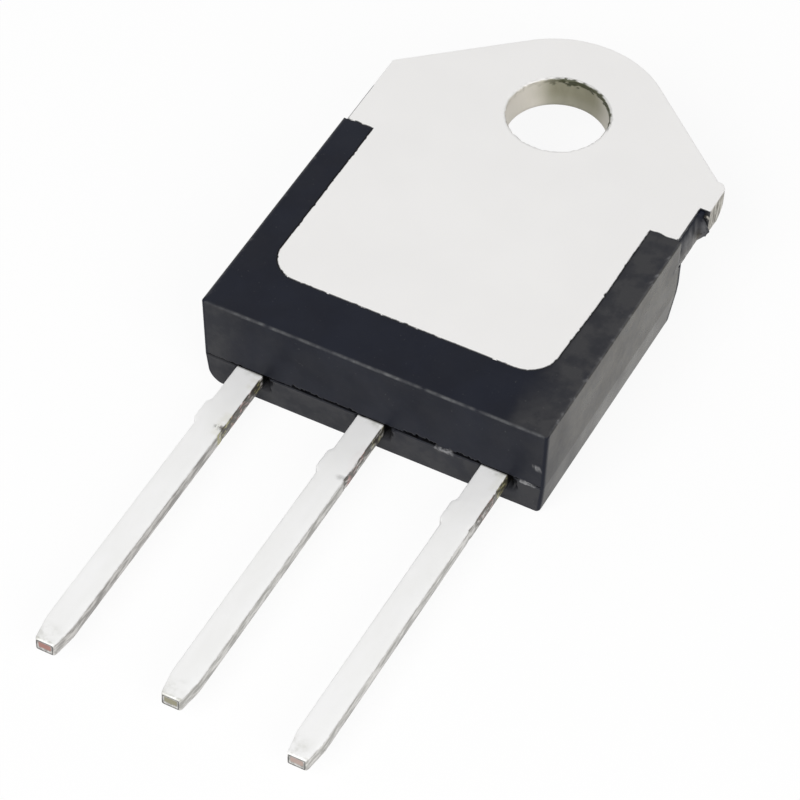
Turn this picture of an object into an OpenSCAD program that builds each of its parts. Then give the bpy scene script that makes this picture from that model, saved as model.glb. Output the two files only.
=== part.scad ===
// Flat three-lead power triac. A plated copper heat slug with a mounting hole is moulded
// into an epoxy body, and an insulated chip stack is soldered to the slug's hidden side.
// Millimetres. +X runs across the leads, +Y from the lead tips to the hole, +Z up to the
// slug's mounting face. The part lies on the front of its moulding, and the origin is under
// the middle of its length. Heights below are measured from that front face.

/* [Moulding] */
// Width across the moulding at the mounting face
mould_w = 15.25; // [14.8:0.05:16.4]
// Length of the moulding, from its lead end to its far end
mould_len = 12.3; // [12.1:0.1:13.4]
// Thickness from the front face to the mounting face
mould_t = 4.6; // [4.4:0.1:5.4]
// How much each side draws in from the mounting face to the parting line
side_draft_tab = 0.08; // [0:0.02:0.2]
// How much each side draws in from the parting line to the front face
side_draft_front = 0.15; // [0:0.01:0.3]
// How much the lead end draws in from the mounting face to the parting line
foot_draft_tab = 0.03; // [0:0.01:0.1]
// How much the lead end draws in from the parting line to the front face
foot_draft_front = 0.08; // [0:0.02:0.3]
// How much the far end draws in towards the front face
head_draft = 0.5; // [0:0.05:0.7]
// Height at which the far end starts to draw in
head_draft_z = 2; // [1.6:0.1:2.6]
// Radius of the rounded long edge at the front face, on the left
front_round_left = 0.65; // [0.2:0.05:0.8]
// Radius of the rounded long edge at the front face, on the right
front_round_right = 0.2; // [0.1:0.05:0.6]
// Radius of the two upright corners at the lead end
foot_corner_r = 0.1; // [0.05:0.05:0.5]

/* [Heat slug] */
// Thickness of the heat slug
slug_t = 1.5; // [1.2:0.05:1.6]
// Width of the plastic border on the left of the bare slug
border_left = 1.35; // [1.1:0.05:1.8]
// Width of the plastic border on the right of the bare slug
border_right = 1.5; // [1.1:0.05:1.8]
// Width of the plastic border below the bare slug
border_foot = 2.7; // [2.2:0.1:3]
// Corner radius of the bare slug inside the border
window_r = 1.35; // [0.6:0.05:2]
// How far short of the moulding's far end the left border stops
arm_setback_left = 0.5; // [0.1:0.05:0.6]
// How far short of the moulding's far end the right border stops
arm_setback_right = 0.35; // [0.1:0.05:0.6]
// How far the slug's edge above the borders lies inside the moulding's side
neck_inset = 0.15; // [0.09:0.02:0.21]
// Height of bare slug edge above the plastic skin that runs from the borders to the stub
skin_drop = 0.1; // [0.05:0.05:0.3]
// Depth below the mounting face at which the skin reaches its full thickness
skin_slope = 1.1; // [0.6:0.1:1.2]
// How far the coined locking lip reaches into the moulding
lip_w = 0.5; // [0.3:0.1:0.8]
// Thickness of the locking lip
lip_t = 0.7; // [0.5:0.1:0.9]

/* [Tab end] */
// Distance from the lead end to the centre of the mounting hole
hole_y = 16.15; // [15.8:0.05:16.5]
// Radius of the mounting hole
hole_r = 2.13; // [2:0.01:2.2]
// Radius of the rolled edge where the hole was punched
hole_roll_r = 0.1; // [0.05:0.01:0.25]
// Radius of the round end of the tab, about the hole
tab_r = 4.6; // [4.2:0.1:4.9]
// Angle between the tab's slanted shoulders and the X axis
shoulder_angle = 40.6; // [38:0.2:44]
// How far the sheared stub of the tie bar stands out on the right
stub_out = 0.42; // [0.2:0.02:0.6]
// Length of the stub along the tab's edge
stub_len = 1.75; // [1.5:0.05:2]
// Corner radius of the stub, seen from above
stub_corner_r = 0.4; // [0.2:0.05:0.6]
// Radius of the rolled lower corner of the stub
stub_roll_r = 0.55; // [0.2:0.05:0.8]
// Distance that the stub's root reaches into the tab
stub_root = 0.6; // [0.4:0.1:1]

/* [Leads] */
// Distance between the centre lines of neighbouring leads
lead_pitch = 5.45; // [5.3:0.01:5.7]
// Width of a lead
lead_w = 1.17; // [1:0.01:1.3]
// Thickness of the lead frame strip
lead_t = 0.65; // [0.4:0.05:0.7]
// Depth of the leads' upper face below the mounting face
lead_drop = 3.05; // [2.9:0.05:3.2]
// Length of the left and centre leads outside the moulding
lead_len = 15.65; // [14:0.05:16]
// How much further the right-hand lead reaches
gate_extra = 0.2; // [0:0.05:0.5]
// Width of a lead at its tip
tip_w = 0.85; // [0.6:0.05:0.95]
// Length of the taper at a lead's tip
tip_len = 1.15; // [0.6:0.05:2]
// Distance from the lead end to the near side of the trimmed dam bar
dam_start = 1.9; // [1.5:0.1:2.3]
// Length of the trimmed dam bar along the lead
dam_len = 1.45; // [1:0.05:1.8]
// How far the trimmed dam bar stands out from a lead's left side
dam_out = 0.16; // [0.05:0.01:0.25]
// Length of the slope at each end of the dam bar stub
dam_slope = 0.3; // [0.1:0.05:0.4]

/* [Lead frame inside] */
// Distance from the lead end to the near edge of an outer lead's land
land_start = 0.9; // [0.7:0.1:1.1]
// Length of an outer lead's land along the lead
land_len = 2.1; // [1.8:0.1:2.3]
// Gap between a land and the centre lead
land_gap = 0.62; // [0.4:0.02:0.68]
// Width of the chip pad
pad_w = 8.6; // [7:0.1:9.4]
// Length of the chip pad
pad_len = 6.2; // [6:0.1:6.8]
// Length of the level stretch between the centre lead's bend and the pad
pad_step = 0.2; // [0.1:0.05:0.4]
// Distance from the lead end to the start of the centre lead's bend
bend_start = 2.2; // [1.6:0.1:2.6]

/* [Chip stack] */
// Thickness of the solder above and below the insulator
insulator_solder_t = 0.06; // [0.04:0.01:0.1]
// Thickness of the ceramic insulator
insulator_t = 0.63; // [0.5:0.01:0.7]
// How far the insulator reaches past the chip pad on every side
insulator_margin = 0.8; // [0.5:0.1:0.9]
// Width and length of the square silicon chip
chip_w = 5.6; // [5:0.1:5.8]
// Thickness of the silicon chip
chip_t = 0.25; // [0.2:0.01:0.3]
// Thickness of the solder on both faces of the chip and on the lands
chip_solder_t = 0.05; // [0.03:0.01:0.08]
// Bare rim of the chip around its contacts
chip_rim = 0.4; // [0.3:0.05:0.6]

/* [Contact clips] */
// Thickness of the contact clips
clip_t = 0.3; // [0.2:0.05:0.4]
// Length of the main clip's plate along Y
main_plate_len = 2.9; // [2.4:0.1:3.2]
// Width of the main clip's strap
main_strap_w = 1.2; // [0.8:0.1:1.4]
// Width of the gate clip
gate_strap_w = 0.8; // [0.6:0.05:1]
// Length of the gate clip's contact along Y
gate_contact_len = 1; // [0.7:0.1:1.2]
// Length of each clip's foot on its land
foot_len = 1.7; // [1.2:0.1:1.8]
// Length of each clip's bend along Y
clip_bend = 0.7; // [0.5:0.1:0.9]

/* [Hidden] */
$fn = 72;
OVERCUT = 0.5;

// Half widths of the moulding, and of the slug above the borders
tab_half = mould_w / 2;
parting_half = tab_half - side_draft_tab;
front_half = parting_half - side_draft_front;
neck_half = tab_half - neck_inset;

// Edges of the bare slug between the borders, and the ends of the borders
window_left = border_left - tab_half;
window_right = tab_half - border_right;
left_arm_len = mould_len - arm_setback_left;
right_arm_len = mould_len - arm_setback_right;

// Heights, from the mounting face down to the front face
slug_z = mould_t - slug_t;
lead_top = mould_t - lead_drop;
lead_z = lead_top - lead_t;
insulator_top = slug_z - insulator_solder_t;
insulator_z = insulator_top - insulator_t;
pad_top = insulator_z - insulator_solder_t;
pad_z = pad_top - lead_t;
chip_top = pad_z - chip_solder_t;
chip_z = chip_top - chip_t;
clip_top = chip_z - chip_solder_t;
clip_z = clip_top - clip_t;
clip_foot_z = lead_top + chip_solder_t;

// The chip stack's middle lies halfway between the slug's foot and the far end
stack_y = (border_foot + mould_len) / 2;
pad_y = stack_y - pad_len / 2;
insulator_w = pad_w + 2 * insulator_margin;
insulator_len = pad_len + 2 * insulator_margin;
contact_half = chip_w / 2 - chip_rim;
chip_y = stack_y - chip_w / 2;
gate_end = chip_y + chip_rim + gate_contact_len;
contact_end = stack_y + contact_half;
main_plate_y = contact_end - main_plate_len;

// The clips' feet lie centred along the lands, and bend one thickness past them
land_end = land_start + land_len;
dam_end = dam_start + dam_len;
foot_y = land_start + (land_len - foot_len) / 2;
clip_bend_y = land_end + clip_t;
land_inner_x = lead_w / 2 + land_gap;
main_strap_x = -contact_half;
gate_strap_x = contact_half - gate_strap_w;

// The tab's outline: the shoulders touch the round end
tangent_x = tab_r * sin(shoulder_angle);
tangent_y = hole_y + tab_r * cos(shoulder_angle);
shoulder_y = shoulder_line_y(neck_half);
tab_top = hole_y + tab_r;
gate_len = lead_len + gate_extra;
centre_y = (tab_top - gate_len) / 2;
skin_z = mould_t - skin_drop;
skin_full_z = mould_t - skin_slope;
stub_x = neck_half + stub_out;
stub_y = shoulder_y - stub_len;

function shoulder_line_y(x) = hole_y + (tab_r - x * sin(shoulder_angle)) / cos(shoulder_angle);

// Half width of the moulding at a height above the parting line
function side_half(z) = tab_half - side_draft_tab * (mould_t - z) / lead_drop;

// Moves a model built from the lead end into the part's own frame
module placed() {
    translate([0, -centre_y, 0]) children();
}

// Extrudes a profile drawn in (Y, Z) from x0 to x1
module along_x(x0, x1) {
    translate([x0, 0, 0])
        rotate([90, 0, 90])
            linear_extrude(height = x1 - x0) children();
}

// Extrudes a profile drawn in (X, Z) from y0 to y1
module along_y(y0, y1) {
    translate([0, y1, 0])
        rotate([90, 0, 0])
            linear_extrude(height = y1 - y0) children();
}

// Extrudes a plan drawn in (X, Y) from z0 to z1
module along_z(z0, z1) {
    translate([0, 0, z0])
        linear_extrude(height = z1 - z0) children();
}

// One side of the moulding's cross-section, with its front edge rounded to radius r
module side_section(r) {
    lean = atan(side_draft_front / lead_top);
    reach = r / tan((90 + lean) / 2);
    polygon([
        [0, 0],
        [front_half - reach, 0],
        [front_half + reach * sin(lean), reach * cos(lean)],
        [parting_half, lead_top],
        [tab_half, mould_t],
        [0, mould_t]
    ]);
    translate([front_half - reach, r]) circle(r);
}

// Length section of the moulding, drawn in (Y, Z)
module length_section() {
    polygon([
        [0, mould_t],
        [foot_draft_tab, lead_top],
        [foot_draft_tab + foot_draft_front, 0],
        [mould_len - head_draft, 0],
        [mould_len, head_draft_z],
        [mould_len, mould_t]
    ]);
}

// Plan of the moulding, with its two corners at the lead end rounded
module mould_plan() {
    inner_half = tab_half - foot_corner_r;
    translate([-tab_half, foot_corner_r]) square([mould_w, mould_len - foot_corner_r]);
    translate([-inner_half, 0]) square([2 * inner_half, mould_len]);
    for (side = [-1, 1])
        translate([side * inner_half, foot_corner_r]) circle(foot_corner_r);
}

// The solid block that the mould forms, before anything is let into it
module mould_block() {
    intersection() {
        along_y(0, mould_len) {
            side_section(front_round_right);
            mirror([1, 0]) side_section(front_round_left);
        }
        along_x(-tab_half, tab_half) length_section();
        along_z(0, mould_t) mould_plan();
    }
}

// Thin plastic skin on the slug's edge above a border, on the right. It starts inside the
// border that it grows from.
module neck_skin(arm_len) {
    along_y(arm_len - OVERCUT, stub_y)
        polygon([
            [neck_half, slug_z],
            [side_half(slug_z), slug_z],
            [side_half(skin_full_z), skin_full_z],
            [neck_half, skin_z]
        ]);
}

// The room for the chip stack. Each cut for solder or chip reaches into the pieces on both
// sides of it, so that no skin of plastic is left between them.
module stack_room() {
    insulator_solid();
    stack_layer(pad_w, pad_len, insulator_z, slug_z + lip_t);
    stack_layer(pad_w, pad_len, pad_z, insulator_top);
    stack_layer(chip_w, chip_w, chip_z, pad_top);
    along_z(clip_z, chip_top) {
        main_contact_plan();
        gate_contact_plan();
    }
    along_z(lead_z, clip_foot_z + clip_t) {
        foot_plan(main_strap_x, main_strap_w);
        foot_plan(gate_strap_x, gate_strap_w);
    }
}

// Everything that the moulding holds
module embedded() {
    slug_solid(OVERCUT);
    left_lead_solid();
    right_lead_solid();
    centre_lead_solid();
    main_clip_solid();
    gate_clip_solid();
    stack_room();
}

// The room for the slug beyond the borders' ends
module room_past_borders() {
    translate([-mould_w, left_arm_len, slug_z]) cube([mould_w, mould_len, mould_t]);
    translate([0, right_arm_len, slug_z]) cube([mould_w, mould_len, mould_t]);
}

module moulded_body() {
    color([0.16, 0.17, 0.19])
        placed() difference() {
            union() {
                difference() {
                    mould_block();
                    room_past_borders();
                }
                neck_skin(right_arm_len);
                mirror([1, 0, 0]) neck_skin(left_arm_len);
            }
            embedded();
        }
}

// Outline of the bare slug between the borders, with rounded lower corners
module window_plan() {
    corner_left = window_left + window_r;
    corner_right = window_right - window_r;
    corner_y = border_foot + window_r;
    translate([window_left, corner_y])
        square([window_right - window_left, left_arm_len - corner_y]);
    translate([corner_left, border_foot]) square([corner_right - corner_left, window_r]);
    for (x = [corner_left, corner_right])
        translate([x, corner_y]) circle(window_r);
}

// Outline of the tab above the borders
module tab_plan() {
    polygon([
        [-neck_half, left_arm_len],
        [window_right, left_arm_len],
        [window_right, right_arm_len],
        [neck_half, right_arm_len],
        [neck_half, shoulder_y],
        [tangent_x, tangent_y],
        [-tangent_x, tangent_y],
        [-neck_half, shoulder_y]
    ]);
    translate([0, hole_y]) circle(tab_r);
}

// Hidden lip around the bare slug, which locks it into the moulding
module lip_plan() {
    lip_len = min(left_arm_len, right_arm_len) - border_foot + lip_w;
    translate([window_left - lip_w, border_foot - lip_w])
        square([window_right - window_left + 2 * lip_w, lip_len]);
}

// Plan of the tie bar's stub, with its outer corner rounded
module stub_plan() {
    root_x = neck_half - stub_root;
    polygon([
        [root_x, stub_y],
        [stub_x, stub_y],
        [stub_x, shoulder_y - stub_corner_r],
        [stub_x - stub_corner_r, shoulder_y],
        [root_x, shoulder_line_y(root_x)]
    ]);
    translate([stub_x - stub_corner_r, shoulder_y - stub_corner_r]) circle(stub_corner_r);
}

// The tie bar's stub, with its lower far corner rolled over by the shear
module tie_bar_stub() {
    roll_y = shoulder_y - stub_roll_r;
    intersection() {
        along_z(slug_z, mould_t) stub_plan();
        along_x(0, mould_w) {
            translate([0, slug_z]) square([roll_y, slug_t]);
            translate([0, slug_z + stub_roll_r]) square([hole_y, slug_t - stub_roll_r]);
            translate([roll_y, slug_z + stub_roll_r]) circle(stub_roll_r);
        }
    }
}

// The mounting hole, with the rolled edge at the mounting face
module mounting_hole() {
    roll_outer = hole_r + hole_roll_r;
    roll_z = mould_t - hole_roll_r;
    translate([0, hole_y, 0]) {
        translate([0, 0, slug_z - OVERCUT]) cylinder(h = slug_t + 2 * OVERCUT, r = hole_r);
        rotate_extrude() difference() {
            translate([0, roll_z]) square([roll_outer, hole_roll_r + OVERCUT]);
            translate([roll_outer, roll_z]) circle(hole_roll_r);
        }
    }
}

// The slug; raised lifts its upper face for cutting its seat
module slug_solid(raised) {
    difference() {
        union() {
            along_z(slug_z, mould_t + raised) {
                window_plan();
                tab_plan();
            }
            along_z(slug_z, slug_z + lip_t) lip_plan();
            tie_bar_stub();
        }
        mounting_hole();
    }
}

module heat_slug() {
    color([0.86, 0.86, 0.85]) placed() slug_solid(0);
}

// Right-hand edge of a lead about its own centre line, from inner_y out to the tip
function right_edge(inner_y, length) = [
    [lead_w / 2, inner_y],
    [lead_w / 2, tip_len - length],
    [tip_w / 2, -length]
];

// Left-hand edge of a lead, from the tip in to inner_y, with the stub of the dam bar
function left_edge(inner_y, length) = [
    [-tip_w / 2, -length],
    [-lead_w / 2, tip_len - length],
    [-lead_w / 2, -dam_end],
    [-lead_w / 2 - dam_out, dam_slope - dam_end],
    [-lead_w / 2 - dam_out, -dam_start - dam_slope],
    [-lead_w / 2, -dam_start],
    [-lead_w / 2, inner_y]
];

// Moves a list of plan points sideways
function shifted(points, x) = [for (p = points) [p.x + x, p.y]];

// The left-hand lead, with its land reaching towards the centre lead
module left_lead_solid() {
    along_z(lead_z, lead_top)
        polygon(concat(
            [[-land_inner_x, land_end], [-land_inner_x, land_start]],
            shifted(right_edge(land_start, lead_len), -lead_pitch),
            shifted(left_edge(land_end, lead_len), -lead_pitch)
        ));
}

// The right-hand lead, with its land reaching towards the centre lead
module right_lead_solid() {
    along_z(lead_z, lead_top)
        polygon(concat(
            shifted(right_edge(land_end, gate_len), lead_pitch),
            shifted(left_edge(land_start, gate_len), lead_pitch),
            [[land_inner_x, land_start], [land_inner_x, land_end]]
        ));
}

// The centre lead bends up inside the moulding and widens into the chip pad
module centre_lead_solid() {
    bend_end = pad_y - pad_step;
    along_z(lead_z, lead_top)
        polygon(concat(right_edge(land_start, lead_len), left_edge(land_start, lead_len)));
    along_x(-lead_w / 2, lead_w / 2)
        polygon([
            [0, lead_z],
            [bend_start, lead_z],
            [bend_end, pad_z],
            [stack_y, pad_z],
            [stack_y, pad_top],
            [bend_end, pad_top],
            [bend_start, lead_top],
            [0, lead_top]
        ]);
    stack_layer(pad_w, pad_len, pad_z, pad_top);
}

module main_lead_1() {
    color([0.84, 0.84, 0.83]) placed() left_lead_solid();
}

module main_lead_2() {
    color([0.84, 0.84, 0.83]) placed() centre_lead_solid();
}

module gate_lead() {
    color([0.84, 0.84, 0.83]) placed() right_lead_solid();
}

// A flat block of the chip stack, centred on the stack's middle
module stack_layer(width, length, z0, z1) {
    translate([-width / 2, stack_y - length / 2, z0]) cube([width, length, z1 - z0]);
}

module insulator_solder_solid() {
    stack_layer(pad_w, pad_len, insulator_top, slug_z);
}

module insulator_solid() {
    stack_layer(insulator_w, insulator_len, insulator_z, insulator_top);
}

module pad_solder_solid() {
    stack_layer(pad_w, pad_len, pad_top, insulator_z);
}

module chip_solder_solid() {
    stack_layer(chip_w, chip_w, chip_top, pad_z);
}

module chip_solid() {
    stack_layer(chip_w, chip_w, chip_z, chip_top);
}

module insulator_solder() {
    color([0.62, 0.63, 0.65]) placed() insulator_solder_solid();
}

module insulator() {
    color([0.93, 0.92, 0.88]) placed() insulator_solid();
}

module pad_solder() {
    color([0.62, 0.63, 0.65]) placed() pad_solder_solid();
}

module chip_solder() {
    color([0.62, 0.63, 0.65]) placed() chip_solder_solid();
}

module triac_chip() {
    color([0.35, 0.37, 0.42]) placed() chip_solid();
}

// The strap of a clip from its land to the chip, between x0 and x0 + width
module clip_strap(x0, width, end_y) {
    bend_end = clip_bend_y + clip_bend;
    along_x(x0, x0 + width)
        polygon([
            [foot_y, clip_foot_z],
            [clip_bend_y, clip_foot_z],
            [bend_end, clip_z],
            [end_y, clip_z],
            [end_y, clip_top],
            [bend_end, clip_top],
            [clip_bend_y, clip_foot_z + clip_t],
            [foot_y, clip_foot_z + clip_t]
        ]);
}

// Plan of the main clip where it lies against the chip
module main_contact_plan() {
    translate([main_strap_x, chip_y]) square([main_strap_w, contact_end - chip_y]);
    translate([-contact_half, main_plate_y]) square([2 * contact_half, main_plate_len]);
}

// Plan of the gate clip where it lies against the chip
module gate_contact_plan() {
    translate([gate_strap_x, chip_y]) square([gate_strap_w, gate_end - chip_y]);
}

// Plan of a clip's foot on its land
module foot_plan(x0, width) {
    translate([x0, foot_y]) square([width, foot_len]);
}

module main_clip_solid() {
    clip_strap(main_strap_x, main_strap_w, contact_end);
    translate([-contact_half, main_plate_y, clip_z])
        cube([2 * contact_half, main_plate_len, clip_t]);
}

module main_clip_solder_solid() {
    along_z(clip_top, chip_z) main_contact_plan();
    along_z(lead_top, clip_foot_z) foot_plan(main_strap_x, main_strap_w);
}

module gate_clip_solid() {
    clip_strap(gate_strap_x, gate_strap_w, gate_end);
}

module gate_clip_solder_solid() {
    along_z(clip_top, chip_z) gate_contact_plan();
    along_z(lead_top, clip_foot_z) foot_plan(gate_strap_x, gate_strap_w);
}

module main_clip() {
    color([0.78, 0.5, 0.34]) placed() main_clip_solid();
}

module main_clip_solder() {
    color([0.62, 0.63, 0.65]) placed() main_clip_solder_solid();
}

module gate_clip() {
    color([0.78, 0.5, 0.34]) placed() gate_clip_solid();
}

module gate_clip_solder() {
    color([0.62, 0.63, 0.65]) placed() gate_clip_solder_solid();
}

moulded_body();
heat_slug();
main_lead_1();
main_lead_2();
gate_lead();
insulator_solder();
insulator();
pad_solder();
chip_solder();
triac_chip();
main_clip();
main_clip_solder();
gate_clip();
gate_clip_solder();
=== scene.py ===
import math

import bmesh
import bpy
from mathutils import Matrix, Vector, noise


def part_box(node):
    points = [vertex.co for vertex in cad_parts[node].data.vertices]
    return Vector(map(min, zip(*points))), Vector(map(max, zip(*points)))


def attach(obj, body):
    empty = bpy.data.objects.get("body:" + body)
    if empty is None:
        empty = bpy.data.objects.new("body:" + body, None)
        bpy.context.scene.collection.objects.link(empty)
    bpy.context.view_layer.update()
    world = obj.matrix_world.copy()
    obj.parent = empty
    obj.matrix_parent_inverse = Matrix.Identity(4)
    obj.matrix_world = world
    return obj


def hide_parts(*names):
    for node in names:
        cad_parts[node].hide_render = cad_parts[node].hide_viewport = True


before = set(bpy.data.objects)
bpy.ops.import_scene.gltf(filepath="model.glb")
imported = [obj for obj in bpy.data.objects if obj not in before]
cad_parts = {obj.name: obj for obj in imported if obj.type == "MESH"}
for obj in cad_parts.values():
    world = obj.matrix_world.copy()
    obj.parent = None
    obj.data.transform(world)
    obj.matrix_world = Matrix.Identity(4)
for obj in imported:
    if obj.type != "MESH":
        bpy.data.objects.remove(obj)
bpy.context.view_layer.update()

MM = 0.001

# Sizes that the frame gives, in millimetres
BODY_LOW, BODY_HIGH = (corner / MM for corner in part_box("moulded_body"))
SLUG_LOW, SLUG_HIGH = (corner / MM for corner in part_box("heat_slug"))
LEAD_LOW, LEAD_HIGH = (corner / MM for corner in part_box("gate_lead"))
LEFT_LEAD_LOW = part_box("main_lead_1")[0] / MM
PAD_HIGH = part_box("main_lead_2")[1] / MM
FOOT_Y = BODY_LOW.y
TOP_Z = BODY_HIGH.z
TAB_HALF = BODY_HIGH.x
SLUG_Z = SLUG_LOW.z
LEAD_Z = LEAD_LOW.z
LEAD_TOP = LEAD_HIGH.z
LEAD_LEN = FOOT_Y - LEFT_LEAD_LOW.y
GATE_LEN = FOOT_Y - LEAD_LOW.y
STUB_X = SLUG_HIGH.x

# Moulding, in millimetres; distances along Y are measured from the lead end
HEAD_LEN = 12.3
ARM_SETBACK_LEFT = 0.5
ARM_SETBACK_RIGHT = 0.35
SIDE_DRAFT_TAB = 0.08
SIDE_DRAFT_FRONT = 0.15
FOOT_DRAFT_TAB = 0.03
FOOT_DRAFT_FRONT = 0.08
HEAD_DRAFT = 0.5
HEAD_DRAFT_Z = 2.0
FRONT_ROUND_LEFT = 0.65
FRONT_ROUND_RIGHT = 0.2
FRONT_ROUND_ENDS = 0.06
FOOT_CORNER_R = 0.1
HEAD_CORNER_R = 0.12
TOP_EDGE_R = 0.06
RIDGE_FLAT = 0.08
SCUFF_FLAT = 0.13
SEAM_EDGE_R = 0.03
SKIN_SLOPE = 1.1
LUMP_OUT = 0.36
LUMP_START = 0.4
LUMP_FULL = 0.06
NECK_STEPS = 48

# Slug
BORDER_LEFT = 1.35
BORDER_RIGHT = 1.5
BORDER_FOOT = 2.7
WINDOW_R = 1.35
WINDOW_LEAN = 0.11
WINDOW_LEAN_LEN = 3.5
NECK_INSET = 0.15
LIP_W = 0.5
LIP_T = 0.7
HOLE_Y = 16.15
HOLE_R = 2.13
HOLE_ROLL_R = 0.1
TAB_R = 4.6
SHOULDER_ANGLE = math.radians(40.6)
STUB_LEN = 1.75
STUB_CORNER_R = 0.4
STUB_FAR_ROLL = 0.7
STUB_SIDE_ROLL = 0.1
SLUG_EDGE_R = 0.04
FLASH_W = 0.05
STUB_JOIN = 0.05
SHOULDER_STEPS = 46
TAB_STEPS = 90
STUB_FOOT_STEPS = 4
STUB_SIDE_STEPS = 14
STUB_CORNER_STEPS = 7
NECK_RIGHT_STEPS = 20
NECK_LEFT_STEPS = 36
BORE_STEPS = 220
BORE_TEAR = 0.05

# Leads
LEAD_PITCH = 5.45
LEAD_SHIFT = -0.05
LEAD_W = 1.17
TIP_W = 0.85
TIP_LEN = 1.15
DAM_START = 1.9
DAM_LEN = 1.45
DAM_OUT = 0.16
DAM_SLOPE = 0.3
LAND_START = 0.9
LAND_END = 3.0
BEND_START = 2.2
PAD_STEP = 0.2
PAD_LEN = 6.2
LEAD_EDGE_R = 0.06
LEAD_ROW = 0.09
NOTCH_BACK = 0.2
NOTCH_DEPTH = 0.02

PARTING_HALF = TAB_HALF - SIDE_DRAFT_TAB
FRONT_HALF = PARTING_HALF - SIDE_DRAFT_FRONT
WINDOW_LEFT = BORDER_LEFT - TAB_HALF
WINDOW_RIGHT = TAB_HALF - BORDER_RIGHT
NECK_HALF = TAB_HALF - NECK_INSET
LEFT_ARM = HEAD_LEN - ARM_SETBACK_LEFT
RIGHT_ARM = HEAD_LEN - ARM_SETBACK_RIGHT
TANGENT_X = TAB_R * math.sin(SHOULDER_ANGLE)
TANGENT_Y = HOLE_Y + TAB_R * math.cos(SHOULDER_ANGLE)


def shoulder_line_y(x):
    return HOLE_Y + (TAB_R - x * math.sin(SHOULDER_ANGLE)) / math.cos(SHOULDER_ANGLE)


SHOULDER_Y = shoulder_line_y(NECK_HALF)
STUB_Y = SHOULDER_Y - STUB_LEN


def lerp(a, b, t):
    return a + (b - a) * t


def smooth(t):
    t = min(1.0, max(0.0, t))
    return t * t * (3 - 2 * t)


def rise(x, start, end):
    """0 at start, rising smoothly to 1 at end, and flat beyond them."""
    return smooth((x - start) / (end - start))


def between(x, low, high, soft):
    """1 between low and high, falling smoothly to 0 over the distance soft outside them."""
    return smooth(1 - max(low - x, x - high, 0) / soft)


def ripple(x, y, z, size, seed):
    """Smooth noise from -1 to 1, with waves about size long."""
    return noise.noise(Vector((x, y, z)) / size + Vector((seed, 2 * seed, 3 * seed)))


def waves(x, y, z, kinds):
    """The sum of several ripples; each kind is its height, its size and its seed."""
    return sum(height * ripple(x, y, z, size, seed) for height, size, seed in kinds)


def fractions(length, pitch):
    """Even fractions from 0 up to, and without, 1."""
    count = max(1, round(length / pitch))
    return [i / count for i in range(count)]


def line(start, end, count):
    """count points from start up to, and without, end."""
    return [(lerp(start[0], end[0], i / count), lerp(start[1], end[1], i / count)) for i in range(count)]


def arc(centre, radius, start_deg, end_deg, count):
    """Points on an arc from start_deg up to, and without, end_deg."""
    found = []
    for i in range(count):
        angle = math.radians(lerp(start_deg, end_deg, i / count))
        found.append((centre[0] + radius * math.cos(angle), centre[1] + radius * math.sin(angle)))
    return found


def edge_turn(degrees):
    """Drop below the face and distance in from the wall on a rounded edge, as shares of its
    radius. It starts at 0 degrees on the wall and ends at 90 on the face."""
    angle = math.radians(degrees)
    return 1 - math.sin(angle), 1 - math.cos(angle)


def round_inset(height, radius):
    """How far a rounded edge lies inside the flat wall at a height above the edge's foot."""
    if height >= radius:
        return 0.0
    return radius - math.sqrt(radius**2 - (radius - height) ** 2)


def new_object(name, data):
    """Puts an object with these data into the scene."""
    obj = bpy.data.objects.new(name, data)
    bpy.context.scene.collection.objects.link(obj)
    return obj


class Shell:
    """A closed mesh made of rings of points, in millimetres, with one number a point for each layer."""

    def __init__(self, layers):
        self.bm = bmesh.new()
        self.layers = {name: self.bm.verts.layers.float.new(name) for name in layers}

    def ring(self, points, marks=None):
        """Adds the points, and returns their vertices. marks gives each point's layer values."""
        found = []
        for i, (x, y, z) in enumerate(points):
            vert = self.bm.verts.new((x * MM, (y + FOOT_Y) * MM, z * MM))
            if marks:
                for name, value in marks[i].items():
                    vert[self.layers[name]] = value
            found.append(vert)
        return found

    def join(self, rings):
        """Joins rings of the same length, each to the next, with quads."""
        count = len(rings[0])
        for low, high in zip(rings, rings[1:]):
            for i in range(count):
                j = (i + 1) % count
                self.bm.faces.new((low[i], low[j], high[j], high[i]))

    def cap(self, *loops):
        """Fills the flat area between closed loops."""
        edges = []
        for loop in loops:
            for i, vert in enumerate(loop):
                other = loop[(i + 1) % len(loop)]
                edges.append(self.bm.edges.get((vert, other)) or self.bm.edges.new((vert, other)))
        bmesh.ops.triangle_fill(self.bm, use_beauty=True, use_dissolve=False, edges=edges)

    def piece(self, name, material, node):
        """Makes the object, which stands for a CAD node."""
        bmesh.ops.recalc_face_normals(self.bm, faces=self.bm.faces)
        mesh = bpy.data.meshes.new(name)
        self.bm.to_mesh(mesh)
        self.bm.free()
        mesh.materials.append(material)
        mesh.polygons.foreach_set("use_smooth", [True] * len(mesh.polygons))
        obj = new_object(name, mesh)
        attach(obj, "root")
        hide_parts(node)
        return obj


# ---- shader helpers


def cleared_tree(owner):
    """The node tree of a material or world, emptied."""
    owner.use_nodes = True
    owner.node_tree.nodes.clear()
    return owner.node_tree


def new_material(name):
    """A material with an empty tree but for its output and one Principled shader."""
    material = bpy.data.materials.new(name)
    tree = cleared_tree(material)
    output = add(tree, "OutputMaterial")
    shader = add(tree, "BsdfPrincipled")
    tree.links.new(shader.outputs["BSDF"], output.inputs["Surface"])
    return material, tree, shader


def add(tree, kind):
    return tree.nodes.new("ShaderNode" + kind)


def feed(tree, socket, value):
    """Sets a socket to a number or colour, or links it to another socket."""
    if isinstance(value, (int, float, tuple)):
        socket.default_value = value
    else:
        tree.links.new(value, socket)


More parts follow.
